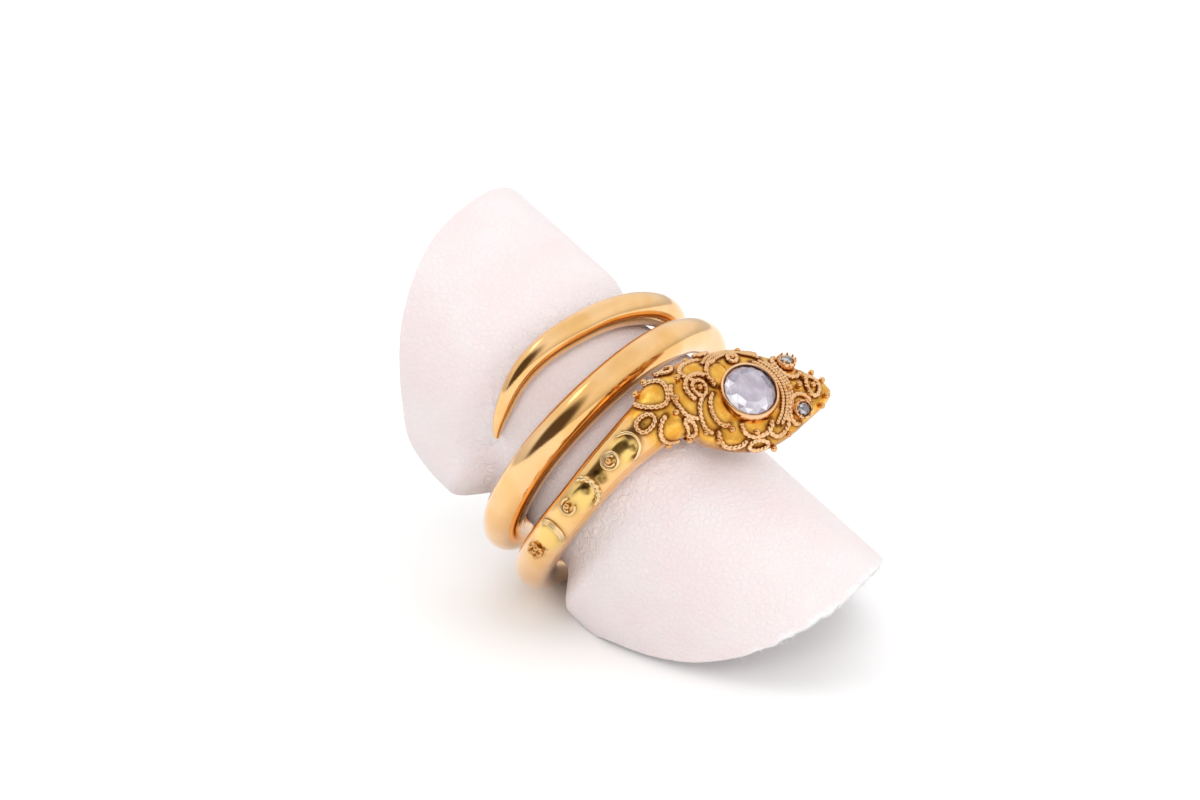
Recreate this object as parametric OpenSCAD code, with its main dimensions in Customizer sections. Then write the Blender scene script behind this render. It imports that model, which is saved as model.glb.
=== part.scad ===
// Gold snake wrap ring, worn on a plain roll of pale leather that leans on the table.
// Millimetres. The origin is the centre of the finger hole, with z up from the table. The
// finger axis lies in the x-z plane and dips towards the snake's head at +x.

/* [Finger] */
// mean diameter of the finger hole
finger_d = 17.2; // [15:0.1:22]
// how far the hole is from round, half the difference of its two widths
oval = 0.46; // [0:0.02:0.8]
// growth of the hole's radius from one strand to the next, towards the head
coil_drift = 0.53; // [0:0.02:0.8]
// length along the finger from the tail's outermost bend to the root of the head
wrap_len = 9.4; // [7:0.1:14]
// lean of the finger axis below the horizontal, towards the head
lean = 32.3; // [15:0.1:40]
// turn position of the ring's top, counted from the middle of the tail strand
top_turn = 54.8; // [30:0.1:70]

/* [Body] */
// thickness of the snake's body behind the finger
body_d = 2.8; // [2:0.05:3.6]
// sides of the body's section
body_sides = 16; // [12:2:24]
// turn step between two sections of the coil
coil_step = 12; // [6:1:15]

/* [Head] */
// length of the head from its root to the nose
head_l = 12.2; // [9:0.1:15]
// greatest width of the head
head_w = 7.5; // [5:0.1:9]
// greatest height of the head
head_h = 3.4; // [2.4:0.1:4.5]
// turn of the head away from the coil, towards the finger's end
head_turn = 31; // [10:1:45]
// height of the head's middle above the finger hole
head_rise = 2.7; // [1.8:0.05:4.5]

/* [Stones] */
// size of the crown stone's setting across the head
bezel_l = 4.25; // [3:0.05:6]
// size of the crown stone's setting along the head
bezel_w = 4.0; // [3:0.05:6]
// wall of the crown stone's setting
bezel_t = 0.32; // [0.2:0.02:0.5]
// height of the crown stone's setting above the head
bezel_h = 0.62; // [0.4:0.02:1.2]
// diameter of an eye's setting
eye_d = 1.15; // [0.8:0.05:1.6]
// height of an eye's setting above the head
eye_h = 0.6; // [0.4:0.05:1.2]
// outward tilt of an eye's setting
eye_tilt = 25; // [0:1:40]
// clearance between a stone and its setting
seat_gap = 0.05; // [0.03:0.01:0.1]

/* [Ornament] */
// diameter of the twisted wire
wire_d = 0.34; // [0.2:0.02:0.5]
// diameter of a granule
bead_d = 0.42; // [0.3:0.02:0.7]

/* [Leather] */
// thickness of the leather
leather_t = 1.0; // [0.8:0.1:2]
// gap between the leather and the coil
leather_gap = 0.2; // [0.15:0.05:0.5]
// length of the roll along its ridge
roll_l = 38; // [28:0.5:46]
// steps around the roll
roll_turns = 40; // [24:2:60]

/* [Hidden] */

// The coil: turn in degrees from the middle of the tail strand, advance along the finger
// as a share of wrap_len, thickness as a share of body_d.
COIL = [
    [-36, -0.349, 0.16],
    [-26, -0.385, 0.34],
    [  0, -0.449, 0.60],
    [ 30, -0.380, 0.72],
    [ 70, -0.255, 0.83],
    [120, -0.197, 0.90],
    [180, -0.162, 0.94],
    [270, -0.007, 1.01],
    [350,  0.065, 0.93],
    [450,  0.135, 0.87],
    [540,  0.279, 0.93],
    [620,  0.348, 1.00],
    [690,  0.486, 0.92],
    [718,  0.510, 1.02],
    [735,  0.535, 1.26],
];

// The head: distance ahead of the crown stone as a share of head_l, middle shifted to the
// right as a share of head_w, middle raised as a share of head_h, half width as a share of
// head_w, top and underside from the middle as shares of head_h.
HEAD = [
    [-0.459, -0.045, -0.030, 0.305, 0.520, 0.480],
    [-0.400, -0.060,  0.000, 0.345, 0.505, 0.465],
    [-0.340, -0.065,  0.010, 0.390, 0.485, 0.450],
    [-0.270, -0.055,  0.005, 0.440, 0.465, 0.435],
    [-0.195, -0.040,  0.000, 0.470, 0.450, 0.420],
    [-0.110, -0.015,  0.000, 0.490, 0.440, 0.410],
    [-0.020,  0.000,  0.000, 0.487, 0.430, 0.400],
    [ 0.060,  0.000,  0.000, 0.458, 0.425, 0.395],
    [ 0.130,  0.000,  0.000, 0.412, 0.410, 0.390],
    [ 0.200,  0.000, -0.010, 0.350, 0.380, 0.375],
    [ 0.265,  0.000, -0.025, 0.282, 0.340, 0.350],
    [ 0.325,  0.000, -0.045, 0.220, 0.290, 0.315],
    [ 0.380,  0.000, -0.070, 0.160, 0.235, 0.265],
    [ 0.425,  0.000, -0.095, 0.100, 0.165, 0.190],
    [ 0.450,  0.000, -0.110, 0.050, 0.090, 0.100],
];

// Twisted wires on the head and neck: middle ahead of the crown stone as a share of head_l,
// middle around the body in degrees to the right of its top line, reach along and across
// the body as shares of head_w, turn, start and sweep in degrees (0 ahead, 90 right).
WIRES = [
    [-0.504, -35, 0.085, 0.170, -14,   0, 375],
    [-0.415, -62, 0.045, 0.080, -15,   0, 375],
    [-0.586,   5, 0.060, 0.060,   0,   0, 375],
    [-0.512,  55, 0.095, 0.150,   0,  90, 180],
    [-0.421,  60, 0.057, 0.080,   0,   0, 375],
    [-0.377,   6, 0.115, 0.180,   0,  70, 150],
    [-0.317,  -1, 0.057, 0.057,   0,   0, 375],
    [-0.317,  -1, 0.105, 0.105,   0, 120, 190],
    [-0.312, -30, 0.100, 0.115,   0, 110, 200],
    [-0.201, -22, 0.090, 0.110,   0, 110, 170],
    [-0.279,  32, 0.100, 0.135,   0,  75, 170],
    [-0.197,  22, 0.127, 0.127,   0,  60, 175],
    [-0.160,  52, 0.127, 0.147,   0,  20, 165],
    [-0.041,  38, 0.113, 0.113,   0,   0, 180],
    [-0.036,  73, 0.060, 0.060,   0,   0, 375],
    [ 0.070,  45, 0.100, 0.113,   0, -20, 200],
    [-0.242, -75, 0.053, 0.053,   0,   0, 375],
    [-0.090, -48, 0.053, 0.053,   0,   0, 375],
    [-0.050,   3, 0.350, 0.400,   0, 215,  95],
    [-0.050,   3, 0.410, 0.475,   0, 210,  95],
    [-0.050,   5, 0.335, 0.345,   0, -55, 105],
    [-0.050,   5, 0.385, 0.400,   0, -40,  75],
    [ 0.216,  40, 0.110, 0.110,   0, 100, 250],
    [ 0.216, -40, 0.110, 0.110,   0,  10, 250],
    [ 0.325,   0, 0.060, 0.075,   0,   0, 375],
    [-0.825,   8, 0.060, 0.060,   0,   0, 375],
    [-1.142,  -1, 0.056, 0.056,   0,   0, 375],
    [-1.517,   3, 0.056, 0.056,   0,   0, 375],
    [-0.762,   8, 0.127, 0.120,   0, -65, 140],
    [-1.057,  12, 0.133, 0.120,   0, -60, 130],
    [-1.393,   5, 0.127, 0.120,   0, -50, 100],
];

// Granules: ahead of the crown stone as a share of head_l, degrees to the right of the top.
BEADS = [
    [-0.514, -76], [-0.528, -60], [-0.471, -76], [-0.437,   8], [-0.473,  25],
    [-0.317,  -1], [-0.312,  60], [-0.418,  85], [-0.564,  84], [-0.150,  47],
    [-0.043,  50], [ 0.125,  72], [-0.240, -10], [-0.395, -22], [-0.240,  68],
    [ 0.030,  88], [-0.330, -55], [-0.090, -48], [-0.012, -70], [ 0.240,   0],
    [ 0.290,  18], [ 0.290, -18], [ 0.363, -55], [ 0.325,   0], [ 0.363,  60],
    [ 0.400, -25], [ 0.400,  35], [ 0.180,   4], [-0.825,   8], [-1.142,  -1],
    [-1.517,   3],
];

// The leather's outline and swell: turn in degrees, far and near rim as shares of roll_l,
// swell beyond the coil at the far end and at the near end in shares of finger_d.
ROLL = [
    [-122, -0.09,  0.30,  0.090,  0.090],
    [-105, -0.13,  0.29,  0.150,  0.110],
    [ -88, -0.16,  0.27,  0.175,  0.125],
    [ -76, -0.23,  0.275, 0.150,  0.120],
    [ -60, -0.28,  0.375, 0.085,  0.080],
    [ -45, -0.31,  0.45,  0.060,  0.045],
    [ -20, -0.36,  0.525, 0.040,  0.010],
    [  10, -0.405, 0.565, 0.035, -0.020],
    [  38, -0.42,  0.563, 0.045, -0.055],
    [  70, -0.425, 0.55,  0.070, -0.100],
    [ 105, -0.41,  0.53,  0.070, -0.100],
    [ 140, -0.36,  0.50,  0.060, -0.040],
    [ 170, -0.28,  0.44,  0.060,  0.020],
    [ 195, -0.18,  0.36,  0.080,  0.080],
];

function row(tab, x, i = 0) =
    i >= len(tab) - 2 || x < tab[i + 1][0] ? i : row(tab, x, i + 1);
function slope(tab, i, c) =
    let (a = max(i - 1, 0), b = min(i + 1, len(tab) - 1))
    (tab[b][c] - tab[a][c]) / (tab[b][0] - tab[a][0]);
// column c of a table at x, on a smooth curve through its rows
function at(tab, x, c) =
    let (i = row(tab, x), h = tab[i + 1][0] - tab[i][0], u = (x - tab[i][0]) / h)
    (2 * u^3 - 3 * u^2 + 1) * tab[i][c] + (u^3 - 2 * u^2 + u) * h * slope(tab, i, c)
    + (3 * u^2 - 2 * u^3) * tab[i + 1][c] + (u^3 - u^2) * h * slope(tab, i + 1, c);
function unit(v) = v / norm(v);
function ease(u) = let (k = max(0, min(1, u))) k * k * (3 - 2 * k);

function coil_x(t) = wrap_len * at(COIL, t, 1);
function coil_r(t) = body_d / 2 * at(COIL, t, 2);
function hole_r(t) = finger_d / 2 + oval * cos(2 * t) + coil_drift * (t / 360 - 1);
function round_axis(x, r, t) = [x, r * sin(t - top_turn), r * cos(t - top_turn)];
function coil_at(t) = round_axis(coil_x(t), hole_r(t) + coil_r(t), t);

// the head's own directions: up, ahead and to the right, and its middle under the stone
head_at = 29;
head_up = round_axis(0, 1, head_at);
head_round = round_axis(0, 1, head_at + 90);
head_ahead = cos(head_turn) * head_round + sin(head_turn) * [1, 0, 0];
head_right = cross(head_ahead, head_up);
head_mid = 0.88 * wrap_len * [1, 0, 0] + 0.173 * finger_d * head_round + (finger_d / 2 + head_rise) * head_up;
function head_point(u, v, w) = head_mid + u * head_ahead + v * head_right + w * head_up;
// where the crown stone and the two eyes stand
stone_at = [-0.05 * head_l, 0.035 * head_w];
eye_at = [0.216 * head_l, 0.22 * head_w];

// sections of the body: middle, up, half width, top and underside
coil_stations = [for (t = [-36 : coil_step : 735]) [coil_at(t), round_axis(0, 1, t),
    coil_r(t), coil_r(t), coil_r(t)]];
head_stations = [for (h = HEAD) [
    head_point(head_l * h[0], head_w * h[1], head_h * h[2]), head_up,
    head_w * h[3], head_h * h[4], head_h * h[5]]];
tip = coil_at(-37.2);
nose = head_point(0.459 * head_l, 0, -0.116 * head_h);
stations = concat(coil_stations, head_stations);
function ahead(i) = unit(
    (i < len(stations) - 1 ? stations[i + 1][0] : nose) - (i > 0 ? stations[i - 1][0] : tip));
function section(i) =
    let (s = stations[i], f = ahead(i), up = unit(s[1] - (s[1] * f) * f), right = cross(f, up))
    [for (j = [0 : body_sides - 1]) let (a = 360 * j / body_sides)
        s[0] + s[2] * cos(a) * right + (sin(a) > 0 ? s[3] : s[4]) * sin(a) * up];

// middle, up, right, half width, top and underside of the body at s ahead of the stone
root_turn = 734;
root_s = -0.533 * head_l;
function frame(s) =
    s <= root_s ? let (t = root_turn + (s - root_s) * 88 / finger_d,
        f = unit(coil_at(t + 0.5) - coil_at(t - 0.5)), n = round_axis(0, 1, t),
        up = unit(n - (n * f) * f))
        [coil_at(t), up, cross(f, up), coil_r(t), coil_r(t), coil_r(t)]
    : s < HEAD[0][0] * head_l ? let (m = (s - root_s) / (HEAD[0][0] * head_l - root_s))
        (1 - m) * frame(root_s) + m * frame(HEAD[0][0] * head_l)
    : let (k = s / head_l) [
        head_point(s, head_w * at(HEAD, k, 1), head_h * at(HEAD, k, 2)), head_up, head_right,
        head_w * at(HEAD, k, 3), head_h * at(HEAD, k, 4), head_h * at(HEAD, k, 5)];
// a spot on the skin at s, q degrees right of the top, and the way out of the skin there
function spot(s, q, lift = 0) =
    let (f = frame(s), h = abs(q) < 90 ? f[4] : f[5],
         n = unit([sin(q) / f[3], cos(q) / h]))
    f[0] + (f[3] * sin(q) + lift * n[0]) * f[2] + (h * cos(q) + lift * n[1]) * f[1];
function out(s, q) = unit(spot(s, q, 1) - spot(s, q));

// height of the finger hole's centre above the table, which the coil's underside touches
axis_h = -min([for (i = [0 : len(stations) - 1]) each
    [for (p = section(i)) p[2] * cos(lean) - p[0] * sin(lean)]]);

// a closed skin over m rings of n points, with a pole at each end
module skin(rings, first, last) {
    n = len(rings[0]);
    m = len(rings);
    points = concat([for (r = rings) each r], [first, last]);
    polyhedron(points, concat(
        [for (i = [0 : m - 2], j = [0 : n - 1]) each
            let (a = i * n + j, b = i * n + (j + 1) % n) [[a, b, b + n], [a, b + n, a + n]]],
        [for (j = [0 : n - 1]) [m * n, (j + 1) % n, j]],
        [for (j = [0 : n - 1]) [m * n + 1, (m - 1) * n + j, (m - 1) * n + (j + 1) % n]]));
}

module snake_body() {
    skin([for (i = [0 : len(stations) - 1]) section(i)], tip, nose);
}

// one twisted wire, soldered half into the skin
wire_steps = 28;
function wire_spot(w, i, n) =
    let (a = w[5] + w[6] * i / n, f = frame(w[0] * head_l), c = cos(w[4]), d = sin(w[4]),
         along = head_w * (w[2] * cos(a) * c - w[3] * sin(a) * d),
         aside = head_w * (w[2] * cos(a) * d + w[3] * sin(a) * c))
    [w[0] * head_l + along, w[1] + aside / (f[3] + f[4]) * 2 * 180 / PI];
module wire(w) {
    n = ceil(w[6] / wire_steps * (w[2] + w[3] < 0.13 ? 0.62 : 1));
    path = [for (i = [0 : n]) let (p = wire_spot(w, i, n)) [p, spot(p[0], p[1], wire_d * 0.3)]];
    rings = [for (i = [0 : n])
        let (a = path[max(i - 1, 0)][1], b = path[min(i + 1, n)][1], f = unit(b - a),
             o = out(path[i][0][0], path[i][0][1]), side = unit(cross(f, o)), u = cross(side, f))
        [for (j = [0 : 3]) path[i][1] + wire_d / 2 * (cos(90 * j) * side + sin(90 * j) * u)]];
    skin(rings, path[0][1], path[n][1]);
}

// a granule on its solder
module bead(b) {
    hull() {
        translate(spot(b[0] * head_l, b[1], bead_d * 0.42)) sphere(d = bead_d, $fn = 6);
        translate(spot(b[0] * head_l, b[1], -bead_d * 0.3)) sphere(d = bead_d * 0.8, $fn = 4);
    }
}

// places its children on the skin with z out of it and y towards the nose
module stand(s, q, lift, lean_out, lean_on) {
    f = frame(s);
    z = unit(cos(lean_out) * f[1] + sin(lean_out) * f[2] + sin(lean_on) * head_ahead);
    x = unit(cross(head_ahead, z));
    y = cross(z, x);
    p = spot(s, q, lift);
    multmatrix([[x[0], y[0], z[0], p[0]], [x[1], y[1], z[1], p[1]], [x[2], y[2], z[2], p[2]]])
        children();
}
module on_crown() {
    f = frame(stone_at[0]);
    stand(stone_at[0], 0, 0, 0, 0) translate([stone_at[1], 0, 0]) children();
}
module on_eye(side) {
    f = frame(eye_at[0]);
    stand(eye_at[0], side * asin(eye_at[1] / f[3]), 0, side * eye_tilt, 6) children();
}

// height of the crown stone's seat, and how deep the settings' feet go into the head
crown_seat = 0.06;
bezel_foot = 0.9;
collet_foot = 0.5;
module bezel() {
    difference() {
        translate([0, 0, -bezel_foot]) scale([bezel_l, bezel_w, 1])
            cylinder(d1 = 1.03, d2 = 1, h = bezel_foot + bezel_h, $fn = 32);
        translate([0, 0, crown_seat]) scale([bezel_l - 2 * bezel_t, bezel_w - 2 * bezel_t, 1])
            cylinder(d = 1, h = 2 * bezel_h, $fn = 32);
    }
}
module collet() {
    difference() {
        translate([0, 0, -collet_foot])
            cylinder(d1 = eye_d * 0.85, d2 = eye_d, h = collet_foot + eye_h, $fn = 12);
        translate([0, 0, eye_h * 0.5]) cylinder(d = eye_d * 0.74, h = eye_h, $fn = 12);
    }
    for (k = [0 : 7]) rotate(45 * k + 10) hull() {
        translate([eye_d * 0.46, 0, eye_h * 0.8]) sphere(d = eye_d * 0.2, $fn = 4);
        translate([eye_d * 0.42, 0, eye_h * 1.15]) sphere(d = eye_d * 0.14, $fn = 4);
    }
}
// a cut stone between two rings of its outline: foot, girdle and table
girdle_t = 0.04;
edge_t = 0.01;
module cut_stone(l, w, foot, girdle, top, table, sides) {
    hull() {
        for (k = [0 : 1]) translate([0, 0, k * (girdle - foot)]) scale([l, w, 1])
            cylinder(d = k == 0 ? 0.9 : 1, h = girdle_t, $fn = sides);
        translate([0, 0, (top + girdle) / 2 - foot]) rotate(180 / sides)
            scale([l, w, 1]) cylinder(d = (1 + table) / 2 * 1.06, h = edge_t, $fn = sides);
        translate([0, 0, top - foot - edge_t]) scale([l, w, 1])
            cylinder(d = table, h = edge_t, $fn = sides / 2);
    }
}

// the tail side of the strand nearest the tail, and the head side of the strand nearest
// the head, each eased over where that strand ends
function mix(a, b, u) = a + (b - a) * ease(u);
tail_end = coil_x(-36) - coil_r(-36);
head_end = coil_x(735) + coil_r(735);
function low_x(t) =
    t < -36 ? mix(coil_x(t + 360) - coil_r(t + 360), tail_end, (t + 76) / 40)
    : let (k = t > 324 ? t - 360 : t) coil_x(k) - coil_r(k);
function high_x(t) =
    t < 15 ? coil_x(t + 720) + coil_r(t + 720)
    : mix(head_end, coil_x(t + 360) + coil_r(t + 360), (t - 15) / 60);
// lengths over which the leather swells beyond the coil, and its slack beside the coil
flare_far = 3.4;
flare_near = 2.4;
leather_slack = 0.1;
// advance at which the hole has its mean width, and the advance from strand to strand
hole_mid = 0.4;
strand_step = 4.5;
function leather_r(x, t) =
    let (far = ease((low_x(t) - leather_slack - x) / flare_far), near = ease((x - high_x(t)) / flare_near))
    finger_d / 2 + oval * cos(2 * t)
    + coil_drift * max(-1.2, min(1.1, (x - hole_mid) / strand_step))
    - leather_gap - leather_slack + finger_d * (far * at(ROLL, t, 3) + near * at(ROLL, t, 4));
// the advance at which the wall meets the table, and the rim that is cut there
function table_x(t, w, x) =
    (axis_h + cos(lean) * cos(t - top_turn) * (leather_r(x, t) - w)) / sin(lean);
function meet(t, w, x, n) = n == 0 ? x : meet(t, w, (x + table_x(t, w, x)) / 2, n - 1);
function rim_x(t, w) =
    let (full = roll_l * at(ROLL, t, 2)) min(full, meet(t, w, table_x(t, w, full), 12));
// steps along the roll: far flap, its flare, under the coil, near flare, near flap
SPANS = [6, 4, 6, 4, 6];
function along(i, far, near, t) =
    let (a = low_x(t) - leather_slack, b = high_x(t),
         x = [far, max(a - flare_far, far + 0.4 * (a - far)), a, b,
              min(b + flare_near, near - 0.4 * (near - b)), near],
         n = [for (k = 0, m = 0; k <= 5; m = m + (k < 5 ? SPANS[k] : 0), k = k + 1) m],
         k = i >= n[4] ? 4 : i >= n[3] ? 3 : i >= n[2] ? 2 : i >= n[1] ? 1 : 0)
    x[k] + (x[k + 1] - x[k]) * (i - n[k]) / SPANS[k];
function leather_point(i, j, w) =
    let (t = ROLL[0][0] + (ROLL[len(ROLL) - 1][0] - ROLL[0][0]) * j / roll_turns,
         x = along(i, roll_l * at(ROLL, t, 1), rim_x(t, w), t))
    round_axis(x, leather_r(x, t) - w, t);

module leather_sheet() {
    n = SPANS * [1, 1, 1, 1, 1] + 1;
    m = roll_turns + 1;
    k = n * m;
    points = concat(
        [for (j = [0 : m - 1], i = [0 : n - 1]) leather_point(i, j, 0)],
        [for (j = [0 : m - 1], i = [0 : n - 1]) leather_point(i, j, leather_t)]);
    polyhedron(points, concat(
        [for (j = [0 : m - 2], i = [0 : n - 2]) each let (a = j * n + i)
            [[a, a + n, a + n + 1], [a, a + n + 1, a + 1],
             [k + a, k + a + n + 1, k + a + n], [k + a, k + a + 1, k + a + n + 1]]],
        [for (j = [0 : m - 2], e = [0, n - 1]) each let (a = j * n + e, b = a + n)
            e == 0 ? [[a, k + a, k + b], [a, k + b, b]] : [[a, b, k + b], [a, k + b, k + a]]],
        [for (i = [0 : n - 2], e = [0, m - 1]) each let (a = e * n + i, b = a + 1)
            e == 0 ? [[a, b, k + b], [a, k + b, k + a]] : [[a, k + a, k + b], [a, k + b, b]]]));
}

module place() {
    rotate([0, lean, 0]) children();
}

module gold_snake() {
    color([0.86, 0.62, 0.30]) place() union() {
        snake_body();
        for (w = WIRES) wire(w);
        for (b = BEADS) bead(b);
        on_crown() bezel();
        on_eye(-1) collet();
        on_eye(1) collet();
    }
}

module crown_stone() {
    inner_l = bezel_l - 2 * bezel_t - 2 * seat_gap;
    inner_w = bezel_w - 2 * bezel_t - 2 * seat_gap;
    color([0.80, 0.81, 0.88]) place() on_crown() translate([0, 0, crown_seat + seat_gap])
        cut_stone(inner_l, inner_w, 0, bezel_h * 0.55, bezel_h * 1.35, 0.58, 12);
}
module eye_stone() {
    d = eye_d * 0.74 - 2 * seat_gap;
    translate([0, 0, eye_h * 0.5 + seat_gap]) cut_stone(d, d, 0, eye_h * 0.3, eye_h * 0.7, 0.5, 8);
}
module eye_stone_left() {
    color([0.48, 0.49, 0.54]) place() on_eye(-1) eye_stone();
}
module eye_stone_right() {
    color([0.48, 0.49, 0.54]) place() on_eye(1) eye_stone();
}

module leather_roll() {
    color([0.93, 0.85, 0.83]) place() leather_sheet();
}

gold_snake();
crown_stone();
eye_stone_left();
eye_stone_right();
leather_roll();
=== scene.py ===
"""Looks of a gold snake wrap ring worn on a leaning roll of pale leather.

All sizes are in millimetres until a mesh is made, which is in metres in the CAD frame:
the origin is the centre of the finger hole, z is up from the table, and the finger's axis
dips towards the snake's head at +x.
"""
import logging
import math
from dataclasses import dataclass, field
from enum import Enum
from typing import Callable, Mapping, Sequence, Union

import bpy
import numpy as np
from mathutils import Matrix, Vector


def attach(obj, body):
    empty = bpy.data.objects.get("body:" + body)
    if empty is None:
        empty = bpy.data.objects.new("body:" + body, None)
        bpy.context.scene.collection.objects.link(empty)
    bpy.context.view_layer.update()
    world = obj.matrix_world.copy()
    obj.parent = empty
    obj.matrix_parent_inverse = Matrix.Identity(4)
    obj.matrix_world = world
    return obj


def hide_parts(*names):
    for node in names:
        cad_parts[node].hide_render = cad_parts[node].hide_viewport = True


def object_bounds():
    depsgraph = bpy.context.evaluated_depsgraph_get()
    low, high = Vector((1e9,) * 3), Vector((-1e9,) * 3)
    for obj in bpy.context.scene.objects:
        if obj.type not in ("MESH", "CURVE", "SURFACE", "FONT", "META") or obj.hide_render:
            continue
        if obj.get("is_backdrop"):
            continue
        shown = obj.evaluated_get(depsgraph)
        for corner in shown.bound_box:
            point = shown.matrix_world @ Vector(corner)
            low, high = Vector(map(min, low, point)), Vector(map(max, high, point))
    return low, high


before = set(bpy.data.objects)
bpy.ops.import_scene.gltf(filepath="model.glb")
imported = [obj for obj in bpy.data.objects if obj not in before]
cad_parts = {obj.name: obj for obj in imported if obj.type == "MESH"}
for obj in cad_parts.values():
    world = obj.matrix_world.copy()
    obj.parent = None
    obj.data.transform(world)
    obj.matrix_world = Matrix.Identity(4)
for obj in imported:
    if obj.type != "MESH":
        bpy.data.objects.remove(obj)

log = logging.getLogger("snake_ring")
MM = 0.001
Triple = tuple[float, float, float]
Rgb = Triple
Array = np.ndarray
Piece = bpy.types.Object
Material = bpy.types.Material
Value = Union["Signal", float]
Laid = tuple[Array, Mapping[str, Array]]
Form = Callable[[Array, Array], Laid]
FACE_OUT = (bpy.ops.mesh.normals_make_consistent, {"inside": False})
WELD = (bpy.ops.mesh.remove_doubles, {"threshold": 2e-7})


class Table:
    """Rows of named columns, read on a smooth curve through the rows."""

    def __init__(self, columns: str, rows: Sequence[Sequence[float]]) -> None:
        """Keep the rows and the slope at each.

        Args:
            columns: the columns' names, with the one that is looked up first.
            rows: the rows, in rising order of their first column.
        """
        self.names = columns.split()
        self.x = np.array([r[0] for r in rows], float)
        self.y = np.array(rows, float)
        n = len(rows) - 1
        low = np.maximum(np.arange(n + 1) - 1, 0)
        high = np.minimum(np.arange(n + 1) + 1, n)
        self.slope = (self.y[high] - self.y[low]) / (self.x[high] - self.x[low])[:, None]

    def at(self, x: Array, columns: str) -> Array:
        """Read columns at places between the rows.

        Args:
            x: where to read.
            columns: which columns.

        Returns:
            One value for each place, or one row for each place if several are asked for.
        """
        x = np.asarray(x, float)
        pick = [self.names.index(c) for c in columns.split()]
        i = np.clip(np.searchsorted(self.x, x, "right") - 1, 0, len(self.x) - 2)
        h = (self.x[i + 1] - self.x[i])[..., None]
        u = ((x - self.x[i]) / h[..., 0])[..., None]
        y, m = self.y[:, pick], self.slope[:, pick]
        got = ((2 * u**3 - 3 * u**2 + 1) * y[i] + (u**3 - 2 * u**2 + u) * h * m[i]
               + (3 * u**2 - 2 * u**3) * y[i + 1] + (u**3 - u**2) * h * m[i + 1])
        return got[..., 0] if len(pick) == 1 else got


def unit(v: Array) -> Array:
    """Vectors of length one."""
    return v / np.linalg.norm(v, axis=-1, keepdims=True)


def ease(u: Array) -> Array:
    """A smooth step from 0 to 1."""
    k = np.clip(u, 0, 1)
    return k * k * (3 - 2 * k)


def ripple(x: Array, seed: float, octaves: int = 3) -> Array:
    """Uneven waves between about -1 and 1 along a line.

    Args:
        x: places along the line, where 1 is about one wave.
        seed: picks other waves.
        octaves: how many finer waves lie on the first.

    Returns:
        The height of the waves at each place.
    """
    total = np.zeros_like(np.asarray(x, float))
    for k in range(octaves):
        f = 2.1**k * x
        wave = np.sin(5.1 * f + seed * 1.7 + k) + np.sin(3.3 * f + seed * 2.9 + 2 * k)
        total = total + wave / (2.6 * 1.8**k)
    return total


# ---- the shape that the pieces share


@dataclass
class CoilForm:
    """The coil's line around the finger, and the plain roll that it is worn on."""

    finger_d: float = 17.2
    oval: float = 0.46
    drift: float = 0.53
    wrap_len: float = 9.4
    lean: float = 32.3
    top_turn: float = 54.8
    body_d: float = 2.8
    table: float = 11.561
    tail_turn: float = -36
    neck_turn: float = 735
    line: Table = field(default_factory=lambda: Table("turn advance thickness", [
        (-36, -0.349, 0.16), (-26, -0.385, 0.34), (0, -0.449, 0.6), (30, -0.38, 0.72),
        (70, -0.255, 0.83), (120, -0.197, 0.9), (180, -0.162, 0.94), (270, -0.007, 1.01),
        (350, 0.065, 0.93), (450, 0.135, 0.87), (540, 0.279, 0.93), (620, 0.348, 1.00),
        (690, 0.486, 0.92), (718, 0.51, 1.02), (735, 0.535, 1.26)]))

    def round_axis(self, x: Array, r: Array, t: Array) -> Array:
        """Points x along the finger, r from its axis and t degrees around it."""
        x, r, t = np.broadcast_arrays(x, r, np.radians(np.asarray(t, float) - self.top_turn))
        return np.stack([x, r * np.sin(t), r * np.cos(t)], -1).astype(float)

    def world(self, p: Array) -> Array:
        """The same points in the CAD frame, leaning as the ring does.

        Args:
            p: points in the ring's own frame.

        Returns:
            The points, turned.
        """
        a = math.radians(self.lean)
        turn = np.array([[math.cos(a), 0, math.sin(a)], [0, 1, 0], [-math.sin(a), 0, math.cos(a)]])
        return p @ turn.T

    def advance(self, t: Array) -> Array:
        """How far along the finger the body's middle is."""
        return self.wrap_len * self.line.at(t, "advance")

    def radius(self, t: Array) -> Array:
        """The body's radius."""
        return self.body_d / 2 * self.line.at(t, "thickness")

    def hole(self, t: Array, x_share: Array) -> Array:
        """The radius of the hollow that the coil leaves."""
        return self.finger_d / 2 + self.oval * np.cos(np.radians(2 * np.asarray(t))) + self.drift * x_share

    def middle(self, t: Array) -> Array:
        """The body's middle."""
        t = np.asarray(t, float)
        return self.round_axis(self.advance(t), self.hole(t, t / 360 - 1) + self.radius(t), t)


class Motif(Enum):
    """What a feature on the snake is."""

    SCALE = "rope around a domed scale"
    RING = "small closed ring of rope"
    BORDER = "long rope along the crown"
    CRESCENT = "thick beaded crescent on the neck"
    PLAIN = "smooth thin wire on the neck"
    PAD = "low lemon pad on the neck"
    # painted dark reflections and shadows on the neck pads
    STAIN = "dark patch in a pad"


@dataclass
class Wire:
    """One wire, pad or patch.

    Its middle is at ahead head lengths and around degrees on the skin. Its oval reaches along and
    across in head widths, and turn, start and sweep are in degrees. dome is in millimetres.
    """

    motif: Motif
    ahead: float
    around: float
    along: float
    across: float
    turn: float = 0
    start: float = 0
    sweep: float = 375
    dome: float = 0.2


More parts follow.
